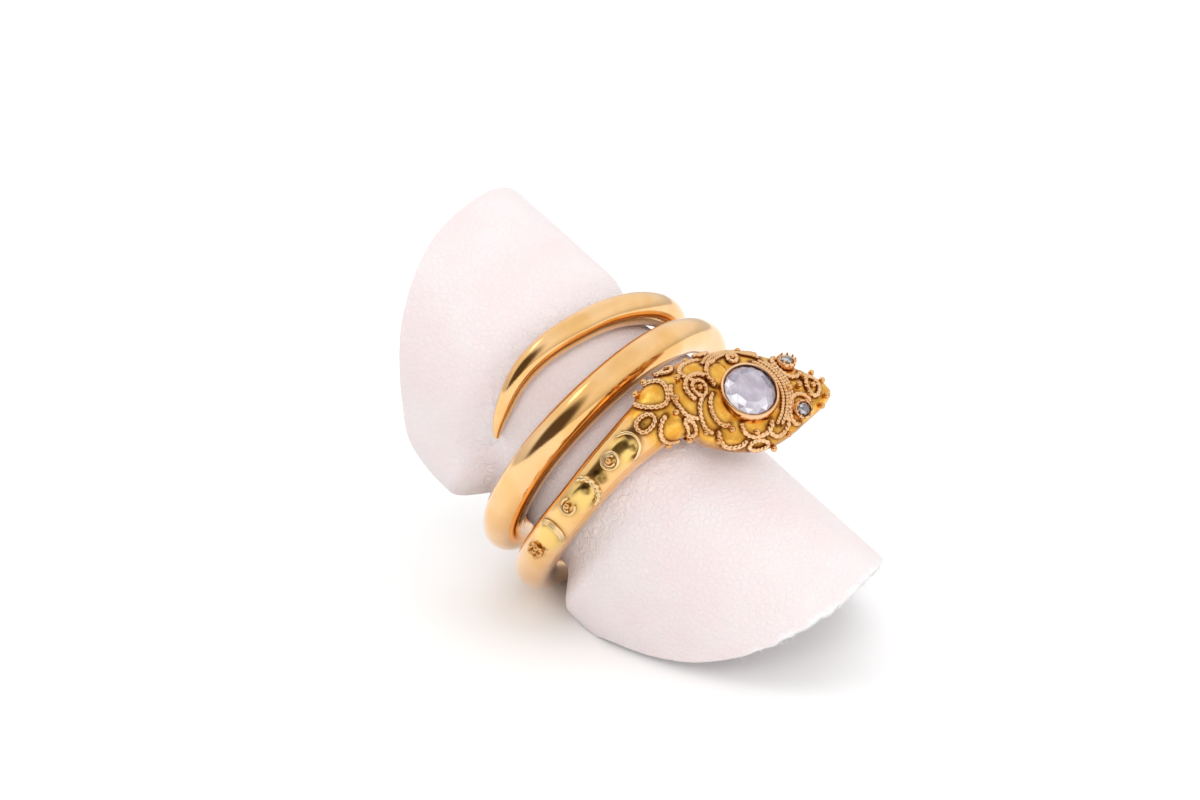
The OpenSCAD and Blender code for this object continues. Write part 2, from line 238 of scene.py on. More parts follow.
S, R, B, C, P, D, N = Motif
WIRES = [Wire(*row) for row in (
    (S, -0.504, -35, 0.085, 0.17, -14, -45, 262, 0.17), (R, -0.415, -62, 0.045, 0.08, -15),
    (R, -0.586, 5, 0.06, 0.06), (S, -0.512, 55, 0.095, 0.15, 0, 90, 180, 0.24),
    (R, -0.421, 60, 0.057, 0.08), (S, -0.377, 6, 0.115, 0.18, 0, 70, 150, 0.22),
    (R, -0.317, -1, 0.057, 0.057), (S, -0.317, -1, 0.105, 0.105, 0, 120, 190, 0.05),
    (S, -0.312, -30, 0.1, 0.115, 0, 110, 200, 0.22), (S, -0.201, -22, 0.09, 0.11, 0, 110, 170, 0.2),
    (S, -0.279, 32, 0.1, 0.135, 0, 75, 170, 0.22), (S, -0.197, 22, 0.127, 0.127, 0, 60, 175, 0.18),
    (S, -0.16, 52, 0.127, 0.147, 0, 20, 165, 0.22), (S, -0.041, 38, 0.113, 0.113, 0, 0, 180, 0.2),
    (R, -0.036, 73, 0.06, 0.06), (S, 0.07, 45, 0.1, 0.113, 0, -20, 200, 0.2),
    (R, -0.242, -75, 0.053, 0.053), (R, -0.09, -48, 0.053, 0.053), (B, -0.05, 3, 0.35, 0.4, 0, 215, 95),
    (B, -0.05, 3, 0.41, 0.475, 0, 210, 95), (B, -0.05, 5, 0.335, 0.345, 0, -55, 105),
    (B, -0.05, 5, 0.385, 0.4, 0, -40, 75), (S, 0.216, 40, 0.11, 0.11, 0, 100, 250, 0.0),
    (S, 0.216, -40, 0.11, 0.11, 0, 10, 250, 0.0), (R, 0.325, 0, 0.06, 0.075), (R, -1.516, 2, 0.056, 0.056),
    (B, -0.05, 5, 0.3, 0.3, 0, -62, 118), (B, -0.05, 5, 0.36, 0.372, 0, -48, 90),
    (B, -0.05, 3, 0.38, 0.437, 0, 214, 92), (P, -0.745, 13, 0.15, 0.125, 0, -75, 160),
    (C, -1.05, 12, 0.146, 0.13, 0, -65, 158), (P, -1.375, 6, 0.116, 0.12, 0, -60, 125),
    (P, -1.375, 6, 0.134, 0.134, 0, -62, 130), (P, -1.375, 6, 0.151, 0.147, 0, -58, 120),
    (P, -0.824, 8, 0.068, 0.068), (P, -0.824, 8, 0.04, 0.04, 0, 60, 300),
    (P, -1.145, 0, 0.062, 0.064, 0, 30, 295), (P, -1.15, 2, 0.026, 0.03, 0, 120, 230),
    (D, -0.755, 14, 0.15, 0.13), (D, -1.06, 12, 0.15, 0.135), (D, -1.385, 8, 0.15, 0.15),
    # N rows are painted dark reflections and shade in the pads; the last is a painted shadow beside the third
    # medallion.
    (N, -0.915, 17, 0.053, 0.072), (N, -1.012, 10, 0.036, 0.048), (N, -0.7, 26, 0.022, 0.04),
    (N, -0.68, -9, 0.014, 0.06), (N, -0.73, 44, 0.022, 0.022), (N, -0.715, 14, 0.014, 0.034),
    (N, -1.462, 17, 0.016, 0.046),
)]
GRANULES = [  # head lengths ahead of the crown stone, and degrees around
    (-0.514, -76), (-0.528, -60), (-0.471, -76), (-0.437, 8), (-0.473, 25), (-0.317, -1), (-0.312, 60),
    (-0.418, 85), (-0.564, 84), (-0.15, 47), (-0.043, 50), (0.125, 72), (-0.24, -10), (-0.395, -22),
    (-0.24, 68), (0.03, 88), (-0.33, -55), (-0.09, -48), (-0.012, -70), (0.24, 0), (0.29, 18),
    (0.29, -18), (0.363, -55), (0.325, 0), (0.363, 60), (0.4, -25), (0.4, 35), (0.18, 4),
    (-0.827, 7), (-1.142, -1), (-1.516, 2), (-1.484, 2), (-1.506, 17), (-1.541, 11), (-1.541, -8),
    (-1.506, -14),
]


@dataclass
class Seat:
    """A place on the skin with its own right, ahead and outward directions."""

    at: Array
    right: Array
    ahead: Array
    out: Array

    def place(self, p: Array) -> Array:
        """Points given right, ahead and out of the seat, in the CAD frame."""
        return self.at + p[:, :1] * self.right + p[:, 1:2] * self.ahead + p[:, 2:] * self.out


@dataclass
class SnakeForm:
    """The snake's skin: where a spot on it is, and the low relief on it.

    The rows are the head's sections: how far ahead each is, its shift aside and up, its half
    width, top and underside, as shares of the head's length, width and height.
    """

    coil: CoilForm
    head_l: float = 12.2
    head_w: float = 7.5
    head_h: float = 3.4
    head_turn: float = 31
    head_rise: float = 11.3
    head_at: float = 29
    head_along: float = 0.88
    head_aside: float = 0.173
    nose_at: float = 0.459
    root_at: float = -0.533
    root_turn: float = 734
    dome_share: float = 0.8
    pad_rise: float = 0.08
    flanks: float = 118
    rows: Sequence[Sequence[float]] = (
        (-0.459, -0.045, -0.03, 0.305, 0.52, 0.48), (-0.4, -0.06, 0, 0.345, 0.505, 0.465),
        (-0.34, -0.065, 0.01, 0.39, 0.485, 0.45), (-0.27, -0.055, 0.005, 0.44, 0.465, 0.435),
        (-0.195, -0.04, 0, 0.47, 0.45, 0.42), (-0.11, -0.015, 0, 0.49, 0.44, 0.41),
        (-0.02, 0, 0, 0.487, 0.43, 0.4), (0.06, 0, 0, 0.458, 0.425, 0.395),
        (0.13, 0, 0, 0.412, 0.41, 0.39), (0.2, 0, -0.01, 0.35, 0.38, 0.375),
        (0.265, 0, -0.025, 0.282, 0.34, 0.35), (0.325, 0, -0.045, 0.22, 0.29, 0.315),
        (0.38, 0, -0.07, 0.16, 0.235, 0.265), (0.425, 0, -0.095, 0.1, 0.165, 0.19),
        (0.45, 0, -0.11, 0.05, 0.09, 0.1))

    def __post_init__(self) -> None:
        """Work out the head's directions and the body's sections from tail to nose."""
        c = self.coil
        self.up = c.round_axis(0, 1, self.head_at)
        around = c.round_axis(0, 1, self.head_at + 90)
        a = math.radians(self.head_turn)
        self.ahead = math.cos(a) * around + math.sin(a) * np.array([1.0, 0, 0])
        self.right = np.cross(self.ahead, self.up)
        self.mid = (np.array([self.head_along * c.wrap_len, 0, 0]) + self.head_aside * c.finger_d * around
                    + self.head_rise * self.up)
        self.root = self.root_at * self.head_l
        self.tail, self.tip = self.place_of(c.tail_turn), self.place_of(c.tail_turn - 1.2)
        self.snout, self.nose = self.rows[-1][0] * self.head_l, self.nose_at * self.head_l
        turns = np.arange(c.tail_turn, c.neck_turn - 2, 4.0)
        r = c.radius(turns)
        coil = np.column_stack([self.place_of(turns), c.middle(turns), c.round_axis(0, 1, turns), r, r, r])
        head = np.array(self.rows) * np.array([self.head_l, self.head_w, self.head_h])[[0, 1, 2, 1, 2, 2]]
        mid = self.mid + head[:, :3] @ np.array([self.ahead, self.right, self.up])
        head = np.column_stack([head[:, 0], mid, np.tile(self.up, (len(mid), 1)), head[:, 3:]])
        self.body = Table("s x y z ux uy uz half top under", np.vstack([coil, head]))

    def place_of(self, turn: Array) -> Array:
        """How far ahead of the crown stone a turn of the coil is."""
        return self.root + (turn - self.root_turn) * self.coil.finger_d / 88

    def section(self, s: Array) -> tuple[Array, ...]:
        """The body's section at s.

        Args:
            s: distances ahead of the crown stone.

        Returns:
            The middle, up and right directions, and the half width, top and underside.
        """
        s = np.asarray(s, float)
        k = np.clip(s, self.tail, self.snout)
        got = self.body.at(k, "x y z ux uy uz half top under")
        f = unit(self.body.at(k + 0.05, "x y z") - self.body.at(k - 0.05, "x y z"))
        up = unit(got[..., 3:6] - (got[..., 3:6] * f).sum(-1, keepdims=True) * f)
        right = np.cross(f, up)
        low = np.clip((self.tail - s) / (self.tail - self.tip), 0, 1)
        high = np.clip((s - self.snout) / (self.nose - self.snout), 0, 1)
        round_off = np.sqrt(np.clip(1 - np.maximum(low, high) ** 2, 0, 1))
        mid = got[..., :3] + (s - k)[..., None] * f
        return mid, up, right, got[..., 6] * round_off, got[..., 7] * round_off, got[..., 8] * round_off

    def spot(self, s: Array, q: Array, lift: Array = 0.0) -> tuple[Array, Array]:
        """A spot on the skin.

        Args:
            s: distance ahead of the crown stone.
            q: degrees around the body to the right of its top line.
            lift: height above the skin.

        Returns:
            The spot, and the way out of the skin there.
        """
        s, q, lift = np.broadcast_arrays(*(np.asarray(v, float) for v in (s, q, lift)))
        mid, up, right, half, top, under = self.section(s)
        a = np.radians(q)
        high = np.where(np.cos(a) > 0, top, under)
        out = unit((np.sin(a) / np.maximum(half, 1e-3))[..., None] * right
                   + (np.cos(a) / np.maximum(high, 1e-3))[..., None] * up)
        p = mid + (half * np.sin(a))[..., None] * right + (high * np.cos(a))[..., None] * up
        return p + lift[..., None] * out, out

    def girth(self, w: Wire) -> float:
        """The body's mean radius over a wire's middle."""
        return float(sum(self.section(np.array(w.ahead * self.head_l))[3:5]) / 2)

    def oval(self, w: Wire, s: Array, q: Array) -> Array:
        """How far spots are from a wire's middle, where 1 is on the wire.

        Args:
            w: the wire.
            s: the spots' distances ahead.
            q: their degrees around.

        Returns:
            Their distances, in widths of the wire's oval.
        """
        ahead = s - w.ahead * self.head_l
        aside = np.radians(q - w.around) * self.girth(w)
        a = math.radians(w.turn)
        along = (ahead * math.cos(a) + aside * math.sin(a)) / (w.along * self.head_w)
        across = (aside * math.cos(a) - ahead * math.sin(a)) / (w.across * self.head_w)
        return np.hypot(along, across)

    def wire_line(self, w: Wire, steps: int) -> tuple[Array, Array]:
        """The spots that a wire runs over, as distances ahead and degrees around.

        Args:
            w: the wire.
            steps: how many spots.

        Returns:
            The distances and the degrees.
        """
        a = np.radians(w.start + w.sweep * np.linspace(0, 1, steps))
        c, d = math.cos(math.radians(w.turn)), math.sin(math.radians(w.turn))
        along = self.head_w * (w.along * np.cos(a) * c - w.across * np.sin(a) * d)
        aside = self.head_w * (w.along * np.cos(a) * d + w.across * np.sin(a) * c)
        return w.ahead * self.head_l + along, w.around + np.degrees(aside / self.girth(w))

    def relief(self, s: Array, q: Array) -> Array:
        """How far the chased scales and pads stand out of the plain skin.

        Args:
            s: distances ahead.
            q: degrees around.

        Returns:
            The heights.
        """
        high = np.zeros(np.broadcast(s, q).shape)
        for w in WIRES:
            if w.motif is Motif.SCALE and w.dome > 0:
                r = self.oval(w, s, q)
                high = np.maximum(high, self.dome_share * w.dome * np.sqrt(np.clip(1 - r**4, 0, 1)))
            elif w.motif is Motif.PAD:
                high = np.maximum(high, self.pad_rise * ease((1 - self.oval(w, s, q)) / 0.5))
        return high * ease((self.flanks - np.abs(q)) / 20)

    def seat(self, s: float, q: float = 0, aside: float = 0, lean_out: float = 0, lean_on: float = 0) -> Seat:
        """A seat for a setting.

        Args:
            s: distance ahead of the crown stone.
            q: degrees to the right of the top line.
            aside: shift to the right along the seat.
            lean_out: degrees that it leans to the right.
            lean_on: degrees that it leans ahead.

        Returns:
            The seat.
        """
        a, b = math.radians(lean_out), math.radians(lean_on)
        out = unit(math.cos(a) * self.up + math.sin(a) * self.right + math.sin(b) * self.ahead)
        right = unit(np.cross(self.ahead, out))
        at, _ = self.spot(s, q)
        return Seat(*map(self.coil.world, (at + aside * right, right, np.cross(out, right), out)))


# ---- finishes


class Signal:
    """A socket that Python's operators work on."""

    def __init__(self, recipe: "Recipe", socket: bpy.types.NodeSocket) -> None:
        """Wrap a socket of a recipe."""
        self.recipe, self.socket = recipe, socket

    def math(self, operation: str, left: Value, right: Value, clamp: bool = False) -> "Signal":
        """The result of a Math node, kept between 0 and 1 if clamp is set."""
        return self.recipe.node("ShaderNodeMath", {"operation": operation, "use_clamp": clamp},
                                {0: left, 1: right})

    def __add__(self, other: Value) -> "Signal":
        """self + other."""
        return self.math("ADD", self, other)

    def __sub__(self, other: Value) -> "Signal":
        """self - other."""
        return self.math("SUBTRACT", self, other)

    def __rsub__(self, other: Value) -> "Signal":
        """other - self."""
        return self.math("SUBTRACT", other, self)

    def __mul__(self, other: Value) -> "Signal":
        """self * other."""
        return self.math("MULTIPLY", self, other)

    __radd__, __rmul__ = __add__, __mul__

    def clamp(self) -> "Signal":
        """The same value kept between 0 and 1."""
        return self.math("ADD", self, 0.0, clamp=True)


class Recipe:
    """The nodes of one material or of the world."""

    def __init__(self, name: str, world: bool = False) -> None:
        """Start with no nodes but the output and the place that patterns read.

        Args:
            name: the owner's name.
            world: the owner is a world.
        """
        self.owner = (bpy.data.worlds if world else bpy.data.materials).new(name)
        self.owner.use_nodes = True
        self.tree = self.owner.node_tree
        self.tree.nodes.clear()
        self.output = self.tree.nodes.new(f"ShaderNodeOutput{'World' if world else 'Material'}")
        self.place = self.node("ShaderNodeTexCoord", {}, {}, "Generated" if world else "Object")

    def node(self, kind: str, settings: Mapping, values: Mapping, out: str | int = 0) -> Signal:
        """Add a node.

        Args:
            kind: the node's type.
            settings: its settings, such as an operation, or a ramp's stops.
            values: the values or links of its sockets, by name or number.
            out: the socket to return.

        Returns:
            That output.
        """
        node = self.tree.nodes.new(kind)
        for name, value in settings.items():
            if name == "stops":
                stops = node.color_ramp.elements
                for k, (at, colour) in enumerate(value):
                    stop = stops[k] if k < len(stops) else stops.new(at)
                    stop.position, stop.color = at, (*colour, 1)
            else:
                setattr(node, name, value)
        for name, value in values.items():
            if isinstance(value, Signal):
                self.tree.links.new(value.socket, node.inputs[name])
            else:
                node.inputs[name].default_value = value
        return Signal(self, node.outputs[out])

    def noise(self, size: float, detail: float = 2, rough: float = 0.5, twist: float = 0) -> Signal:
        """Soft noise whose patches are about size millimetres across.

        Args:
            size: how wide a patch is.
            detail: how many finer layers it has.
            rough: how strong these are.
            twist: how far the patches are bent.

        Returns:
            The noise, from 0 to 1.
        """
        return self.node("ShaderNodeTexNoise", {}, {
            "Vector": self.place, "Scale": 1 / (size * MM), "Detail": detail, "Roughness": rough,
            "Distortion": twist}, "Fac")

    def stored(self, name: str) -> Signal:
        """A value that is stored on the mesh."""
        return self.node("ShaderNodeAttribute", {"attribute_name": name}, {}, "Fac")

    def ramp(self, value: Signal, *stops: tuple[float, Rgb]) -> Signal:
        """Colours by a value."""
        return self.node("ShaderNodeValToRGB", {"stops": stops}, {"Fac": value}, "Color")

    def step(self, value: Signal, low: float, high: float) -> Signal:
        """A value taken from low to high onto 0 to 1, eased."""
        return self.node("ShaderNodeMapRange", {"interpolation_type": "SMOOTHSTEP"}, {
            "Value": value, "From Min": low, "From Max": high}, "Result")

    def blend(self, share: Signal, a: Signal | Rgb, b: Signal | Rgb) -> Signal:
        """Two colours mixed by a share."""
        sides = [v if isinstance(v, Signal) else (*v, 1) for v in (a, b)]
        return self.node("ShaderNodeMix", {"data_type": "RGBA"}, {0: share, 6: sides[0], 7: sides[1]}, 2)

    def bump(self, height: Signal, depth: float, under: Signal | None = None, strength: float = 1) -> Signal:
        """A bump of depth millimetres, laid over another."""
        values = {"Height": height, "Distance": depth * MM, "Strength": strength}
        return self.node("ShaderNodeBump", {}, {**values, "Normal": under} if under else values, "Normal")

    def end(self, shader: Signal) -> bpy.types.ID:
        """Link a shader to the output, and return the material or world."""
        self.tree.links.new(shader.socket, self.output.inputs["Surface"])
        return self.owner

    def shade(self, **sockets: object) -> Material:
        """Finish the material with a Principled shader.

        Args:
            sockets: its values or links, with _ for the spaces in a socket's name.

        Returns:
            The material.
        """
        values = {name.replace("_", " "): value for name, value in sockets.items()}
        return self.end(self.node("ShaderNodeBsdfPrincipled", {}, values, "BSDF"))


@dataclass(frozen=True)
class GoldFinish:
    """Gold with a tone that drifts, a worn polish, and painted shade with a little patina in its hollows."""

    name: str
    bright: Rgb
    deep: Rgb
    roughness: float
    # colour of the painted shade, with a little patina, in the hollows
    hollow: Rgb = (0.26, 0.09, 0.015)
    waves: float = 0.012
    pits: float = 0.004
    # strength of the painted shade in the hollows
    hollow_shade: float = 0.8

    def material(self) -> Material:
        """Build the material.

        Returns:
            The material.
        """
        r = Recipe(self.name)
        drift = r.step(r.noise(2.4, 3), 0.3, 0.7)
        fine = r.noise(0.12, 4, 0.6)
        # painted shade: the stored hollow value darkens the colour at the wires' feet, partly as patina
        hollow = (r.stored("hollow") * self.hollow_shade * (0.6 + 0.8 * r.noise(0.35, 2))).clamp()
        colour = r.blend(hollow, r.blend(drift, self.deep, self.bright), self.hollow)
        rough = self.roughness + 0.1 * (fine - 0.5) + 0.22 * hollow
        waves = r.bump(r.noise(1.3, 1), self.waves)
        return r.shade(Base_Color=colour, Metallic=1.0, Roughness=rough.clamp(),
                       Normal=r.bump(fine, self.pits, waves))


@dataclass(frozen=True)
class SkinFinish:
    """The snake's skin: plain body, brighter scales, lemon pads with painted dark reflections, and painted
    shade.
    """

    name: str = "snake_gold"
    bright: Rgb = (0.92, 0.58, 0.27)
    deep: Rgb = (0.86, 0.49, 0.17)
    scale: Rgb = (0.94, 0.55, 0.12)
    scale_deep: Rgb = (0.8, 0.38, 0.05)
    lemon: Rgb = (0.9, 0.61, 0.19)
    # colour of the painted dark reflections and shadows in the pads
    painted_dark_tone: Rgb = (0.2, 0.11, 0.015)
    # colour of the painted shade under the jaw and at the wires' feet, where it also stands for a little
    # patina
    hollow: Rgb = (0.22, 0.07, 0.01)

    def material(self) -> Material:
        """Build the material.

        Returns:
            The material.
        """
        r = Recipe(self.name)
        drift = r.step(r.noise(3.0, 3), 0.35, 0.65)
        fine = r.noise(0.1, 4, 0.6)
        chased, pad = r.stored("chased"), r.stored("pad")
        # painted shade: the stored hollow value darkens the skin at the wires' feet and under the jaw
        hollow = (r.stored("hollow") * (0.55 + 0.9 * r.noise(0.3, 2))).clamp()
        # painted dark reflections and shadows in the pads
        painted_dark = (r.stored("painted_dark") * (0.25 + 1.2 * r.noise(0.25, 2))).clamp()
        body = r.blend(drift, self.deep, self.bright)
        scales = r.blend(r.step(r.noise(0.7, 3), 0.35, 0.7), self.scale_deep, self.scale)
        colour = r.blend(pad, r.blend(chased, body, scales), self.lemon)
        colour = r.blend(hollow, r.blend(painted_dark, colour, self.painted_dark_tone), self.hollow)
        rough = 0.12 + 0.06 * (fine - 0.5) + 0.11 * chased + 0.06 * pad + 0.25 * hollow
        waves = r.bump(r.noise(1.8, 1), 0.01)
        pitted = r.bump(r.noise(0.26, 3, 0.65), 0.035, waves, 0.6)
        normal = r.node("ShaderNodeMix", {"data_type": "VECTOR"}, {0: chased, 4: waves, 5: pitted}, 1)
        return r.shade(Base_Color=colour, Metallic=1.0, Roughness=rough.clamp(),
                       Coat_Weight=0.4 * (1 - chased), Coat_IOR=1.55, Coat_Roughness=0.1,
                       Normal=r.bump(fine, 0.003, normal))


@dataclass(frozen=True)
class StoneFinish:
    """A cut stone with painted reflections: each facet is lighter or darker by a value stored on it."""

    name: str
    pale: Rgb
    middle: Rgb
    dark: Rgb
    clear: float
    roughness: float = 0.05

    def material(self) -> Material:
        """Build the material.

        Returns:
            The material.
        """
        r = Recipe(self.name)
        # painted reflections: the stored value, with noise, picks each facet's colour from dark to pale
        painted_glint = (r.stored("painted_glint") + 0.5 * (r.noise(0.8, 3) - 0.5)).clamp()
        colour = r.ramp(painted_glint, (0.0, self.dark), (0.5, self.middle), (1.0, self.pale))
        rough = self.roughness + 0.06 * r.step(r.noise(0.5, 4), 0.5, 0.8)
        return r.shade(Base_Color=colour, Roughness=rough, IOR=1.8, Transmission_Weight=self.clear,
                       Coat_Weight=0.6, Coat_Roughness=0.03, Normal=r.bump(r.noise(0.6, 2), 0.006))


@dataclass(frozen=True)
class LeatherFinish:
    """Pale leather with a fine grain, creases where it is squeezed and raw white edges."""

    name: str = "pale_leather"
    face: Rgb = (0.675, 0.625, 0.635)
    blush: Rgb = (0.67, 0.585, 0.59)
    pore: Rgb = (0.58, 0.44, 0.42)
    raw: Rgb = (0.78, 0.775, 0.785)
    grain: float = 0.42

    def material(self) -> Material:
        """Build the material.

        Returns:
            The material.
        """
        r = Recipe(self.name)
        raw, squeezed = r.stored("raw"), r.stored("squeezed")
        tone = r.step(r.noise(6, 3), 0.3, 0.7)
        cells = r.node("ShaderNodeTexVoronoi", {"feature": "DISTANCE_TO_EDGE"}, {
            "Vector": r.place, "Scale": 1 / (self.grain * MM), "Randomness": 0.9}, "Distance")
        pores = r.step(cells, 0.0, 0.22)
        face = r.blend(0.06 * (1 - pores), r.blend(tone, self.face, self.blush), self.pore)
        folds = r.step(r.noise(2 / 3, 4, 0.6, 0.8), 0.3, 0.7) * squeezed
        wrinkled = r.bump(folds, 0.07, r.bump(r.noise(2.2, 3), 0.05), 0.9)
        grained = r.bump(pores + 0.5 * r.noise(0.16, 3), 0.022, wrinkled, 0.8)
        rough = 0.58 + 0.25 * raw + 0.06 * (tone - 0.5)
        return r.shade(Base_Color=r.blend(raw, face, self.raw), Roughness=rough.clamp(),
                       Subsurface_Weight=0.12, Subsurface_Scale=0.0006, Sheen_Weight=0.08,
                       Specular_IOR_Level=0.35, Normal=r.bump(r.noise(0.12, 5, 0.75) * raw, 0.09, grained))


@dataclass(frozen=True)
class TableFinish:
    """A plain white table top."""

    name: str = "white_table"
    colour: Rgb = (0.86, 0.86, 0.86)
    cloud: Rgb = (0.8471, 0.8471, 0.8471)

    def material(self) -> Material:
        """Build the material.

        Returns:
            The material.
        """
        r = Recipe(self.name)
        return r.shade(Base_Color=r.blend(r.noise(60, 1), self.colour, self.cloud), Roughness=0.55,
                       Specular_IOR_Level=0.2)


# ---- modelling


class Bench:
    """Modelling steps that the pieces share, with points given in millimetres."""

    @staticmethod
    def take(*pieces: Piece) -> None:
        """Leave edit mode with only these pieces selected, and the first of them active.

        Args:
            pieces: the pieces, if any.
        """
        if bpy.context.mode != "OBJECT":
            bpy.ops.object.mode_set(mode="OBJECT")
        bpy.ops.object.select_all(action="DESELECT")
        for piece in pieces:
            piece.select_set(True)
        if pieces:
            bpy.context.view_layer.objects.active = pieces[0]

    @classmethod
    def start(cls, primitive: Callable, **sizes: object) -> Piece:
        """A new primitive, with nothing else selected.

        Args:
            primitive: the operator that adds it.
            sizes: its size and place.

        Returns:
            The piece.
        """
        cls.take()
        primitive(**sizes)
        return bpy.context.object

    @staticmethod
    def points(piece: Piece) -> Array:
        """The mesh's points.

        Args:
            piece: the piece.

        Returns:
            The points, in metres.
        """
        co = np.zeros(len(piece.data.vertices) * 3, np.float32)
        piece.data.vertices.foreach_get("co", co)
        return co.reshape(-1, 3).astype(float)

    @staticmethod
    def move(piece: Piece, points: Array) -> None:
        """Set the mesh's points."""
        piece.data.vertices.foreach_set("co", np.ascontiguousarray(points * MM, np.float32).ravel())
        piece.data.update()

    @classmethod
    def work(cls, piece: Piece, *steps: tuple[Callable, Mapping[str, object]]) -> None:
        """Run edit mode operators on a whole piece.

        Args:
            piece: the piece.
            steps: the operators with their settings, in order.
        """
        cls.take(piece)
        bpy.ops.object.mode_set(mode="EDIT")
        bpy.ops.mesh.select_mode(type="VERT")
        for operator, settings in steps:
            bpy.ops.mesh.select_all(action="SELECT")
            operator(**settings)
        cls.take()

    @classmethod
    def sheet(cls, name: str, around: int, along: int, form: Form) -> Piece:
        """Wrap a grid over a form, and weld its seam and poles.

        Args:
            name: the piece's name.
            around: cells around the form.
            along: cells along it.
            form: gives the points for u and v from 0 to 1, and the values to store on them.

        Returns:
            The piece.
        """
        piece = cls.start(bpy.ops.mesh.primitive_grid_add, x_subdivisions=around, y_subdivisions=along,
                          size=1)
        piece.name = piece.data.name = name
        flat = cls.points(piece)
        points, marks = form(np.round((flat[:, 0] + 0.5) * around) / around,
                             np.round((flat[:, 1] + 0.5) * along) / along)
        cls.move(piece, points)
        for mark, values in marks.items():
            cls.store(piece, mark, values)
        cls.work(piece, WELD, FACE_OUT)
        return piece

    @classmethod
    def join(cls, name: str, pieces: Sequence[Piece]) -> Piece:
        """Join pieces into one mesh, its origin at the frame's, unturned and unscaled.

        Args:
            name: the joined piece's name.
            pieces: what is joined.

        Returns:
            The piece.
        """
        cls.take(*pieces)
        bpy.ops.object.join()
        bpy.ops.object.transform_apply(location=True, rotation=True, scale=True)
        pieces[0].name = pieces[0].data.name = name
        return pieces[0]

    @staticmethod
    def store(piece: Piece, name: str, values: Array, domain: str = "POINT") -> None:
        """Store one value for each point or face of a piece."""
        layer = piece.data.attributes.new(name, "FLOAT", domain)
        layer.data.foreach_set("value", np.ascontiguousarray(values, np.float32))

    @classmethod
    def dress(cls, piece: Piece, material: Material, slot: str, node: str,
              smooth: bool = True) -> Piece:
        """Give a piece its finish and its body, and hide the CAD node that it stands for.

        Args:
            piece: the piece.
            material: its finish.
            slot: the record's material slot; not used.
            node: the CAD node.
            smooth: shade it smooth.

        Returns:
            The piece.
        """
        if smooth:
            cls.take(piece)
            bpy.ops.object.shade_smooth()
        piece.data.materials.clear()
        piece.data.materials.append(material)
        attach(piece, "root")
        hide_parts(node)
        log.info("%s: %d faces", piece.name, len(piece.data.polygons))
        return piece

    @classmethod
    def gild(cls, piece: Piece, finish: GoldFinish | SkinFinish) -> Piece:
        """Dress a piece of the gold snake."""
        return cls.dress(piece, finish.material(), "gold", "gold_snake")


# ---- the pieces


@dataclass
class SnakeSkin:
    """The snake's body from tail to nose, with domed scales and the neck's pads and patches."""

    form: SnakeForm
    around: int = 112
    neck: float = -20
    nape: float = -8
    steps: tuple[float, float, float] = (0.55, 0.13, 0.085)
    finish: SkinFinish = SkinFinish()

    def __post_init__(self) -> None:
        """Place the skin's rings, closest on the head and at both tips."""
        f, neck, nape, (plain, fine, finest) = self.form, self.neck, self.nape, self.steps
        cap = np.sin(np.linspace(0, math.pi / 2, 7))
        self.rings = np.concatenate([
            f.tail - (f.tail - f.tip) * cap[::-1], np.arange(f.tail + 0.5, neck - 0.6, plain),
            np.arange(neck - 0.4, nape - 0.3, fine), np.arange(nape - 0.2, f.snout - 0.05, finest),
            f.snout + (f.nose - f.snout) * cap])

    def patches(self, s: Array, q: Array, motif: Motif, soft: float) -> Array:
        """How much of a patch of one kind lies at each place."""
        found = [ease((1 + soft / 2 - self.form.oval(w, s, q)) / soft) for w in WIRES if w.motif is motif]
        return np.max(found, axis=0) * (s > self.neck) * (np.abs(q) < 110)

    def hollow(self, s: Array, q: Array, skin: Array) -> Array:
        """How much painted shade each point of the skin gets, near the foot of a wire and under the jaw.

        Args:
            s: the points' distances ahead.
            q: their degrees around.
            skin: the points.

        Returns:
            From 0, plain, to 1, fully in painted shade.
        """
        f = self.form
        wires = np.concatenate([f.spot(*f.wire_line(w, 50))[0] for w in WIRES
                                if w.motif not in (Motif.PAD, Motif.STAIN)])
        # painted shade at the foot of each wire
        shade = np.zeros(len(s))
        for i in np.nonzero((s > self.neck) & (np.abs(q) < 125))[0]:
            shade[i] = math.exp(-((wires - skin[i]) ** 2).sum(1).min() / 0.07)
        head = s - self.nape
        # painted shade under the jaw
        jaw = 0.5 * ease((np.abs(q) - 68) / 16) * ease((head - 1.5) / 2.5)
        return np.clip((0.5 + 1.1 * ease((head + 0.1) / 0.6)) * shade + jaw, 0, 1)

    def lay(self, u: Array, v: Array) -> Laid:
        """Lay the skin over the form, closer over the top than underneath.

        Args:
            u: place around the body.
            v: place along it.

        Returns:
            The points, with the slight unevenness of hand work, and how far each is chased, in a
            lemon pad or the fainter lemon between them, among the painted dark reflections and shadows, and
            in painted shade.
        """
        f, last, a = self.form, len(self.rings) - 1, 2 * math.pi * (u - 0.5)
        s = self.rings[np.clip(np.rint(v * last).astype(int), 0, last)]
        q = np.degrees(a - 0.45 * np.sin(a))
        high, head, neck, side = f.relief(s, q), s - self.nape, s - self.neck, np.abs(q)
        hand = 0.018 * ripple(s / 9 + 0.4 * np.sin(np.radians(q)), 3.0, 2) * ease(-head / 6)
        p, _ = f.spot(s, q, np.where((s >= f.tail) & (s <= f.snout), high + hand, 0))
        faint = 0.45 * ease((neck - 1.7) / 1.5) * ease((0.4 - head) / 0.8) * ease((52 - np.abs(q - 2)) / 34)
        return f.coil.world(p), {
            "chased": ease((head - 0.1) / 0.8) * ease((86 - side) / 14),
            "pad": np.maximum(faint, self.patches(s, q, Motif.PAD, 0.5)),
            # painted dark reflections and shadows in the pads
            "painted_dark": self.patches(s, q, Motif.STAIN, 0.7),
            "hollow": self.hollow(s, q, f.spot(s, q, high)[0])}

    def build(self) -> Piece:
        """Model and dress the skin."""
        return Bench.gild(Bench.sheet("snake_skin", self.around, len(self.rings) - 1, self.lay), self.finish)


